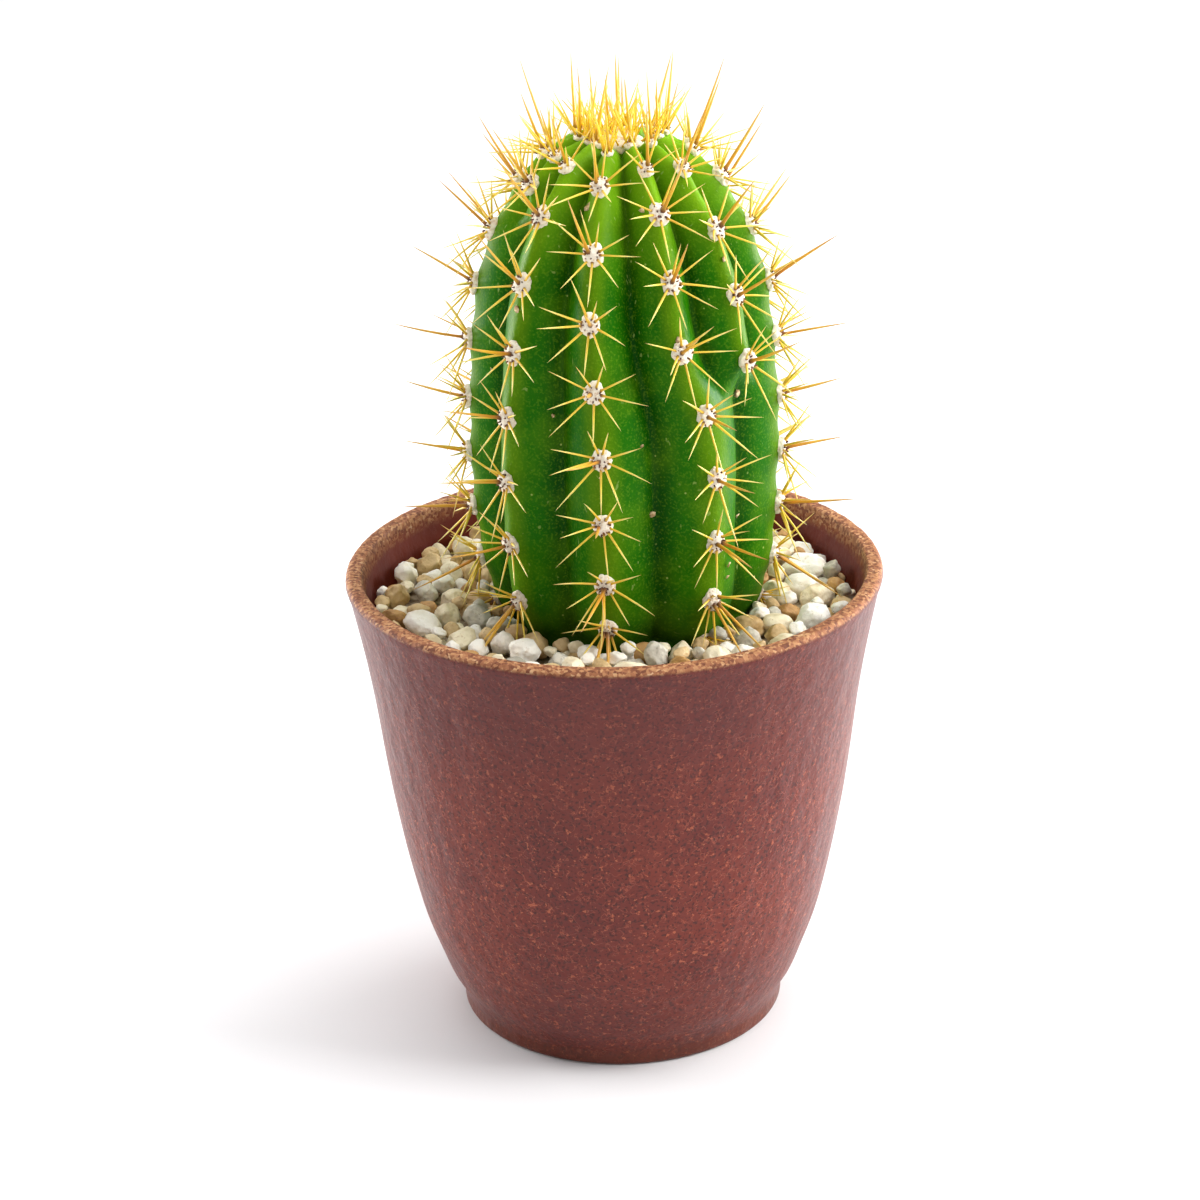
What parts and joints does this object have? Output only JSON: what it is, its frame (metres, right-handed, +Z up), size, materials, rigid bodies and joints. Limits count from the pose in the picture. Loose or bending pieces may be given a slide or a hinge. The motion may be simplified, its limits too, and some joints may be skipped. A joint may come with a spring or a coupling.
{
  "type": "potted torch cactus",
  "caption": "Ribbed golden-spined column cactus in a flared round pot, topped with loose pale pebbles.",
  "frame": {"origin": "centre of the circle on which the pot's foot stands", "axes": "+Z up through the pot; -Y is the front, +X is to its right; the plant leans nowhere and stands 2.5 mm towards +X"},
  "size_m": [0.1, 0.1, 0.1852],
  "materials": {
    "pot": "reddish brown natural-fibre composite, satin side, coarse speckled rim",
    "soil": "dark peaty potting mix, matt",
    "gravel": "fine pale gravel, matt",
    "skin": "waxy green cactus skin, satin",
    "spine": "golden yellow horny spines on cream felt",
    "white": "white pebble, matt",
    "cream": "cream pebble, matt",
    "grey": "pale grey pebble, matt",
    "tan": "tan pebble, matt",
    "brown": "ochre brown pebble, matt"
  },
  "bodies": {
    "root": {"pot": "pot", "potting_soil": "soil", "gravel_bed": "gravel", "cactus_stem": "skin", "spine_row_01": "spine", "spine_row_02": "spine", "spine_row_03": "spine", "spine_row_04": "spine", "spine_row_05": "spine", "spine_row_06": "spine", "spine_row_07": "spine", "spine_row_08": "spine", "spine_row_09": "spine", "spine_row_10": "spine", "spine_row_11": "spine", "spine_row_12": "spine", "crown_tuft": "spine", "pebble_01": "white", "pebble_02": "cream", "pebble_03": "white", "pebble_04": "white", "pebble_05": "grey", "pebble_06": "cream", "pebble_07": "grey", "pebble_08": "cream", "pebble_09": "tan", "pebble_10": "white", "pebble_11": "cream", "pebble_12": "tan", "pebble_13": "cream", "pebble_14": "brown", "pebble_15": "cream", "pebble_16": "brown", "pebble_17": "grey", "pebble_18": "cream", "pebble_19": "tan", "pebble_20": "cream", "pebble_21": "grey", "pebble_22": "brown", "pebble_23": "cream", "pebble_24": "grey", "pebble_25": "tan", "pebble_26": "cream", "pebble_27": "white", "pebble_28": "cream", "pebble_29": "brown", "pebble_30": "white", "pebble_31": "brown", "pebble_32": "tan", "pebble_33": "white", "pebble_34": "grey", "pebble_35": "tan", "pebble_36": "cream", "pebble_37": "grey", "pebble_38": "white", "pebble_39": "tan", "pebble_40": "grey"}
  },
  "joints": []
}
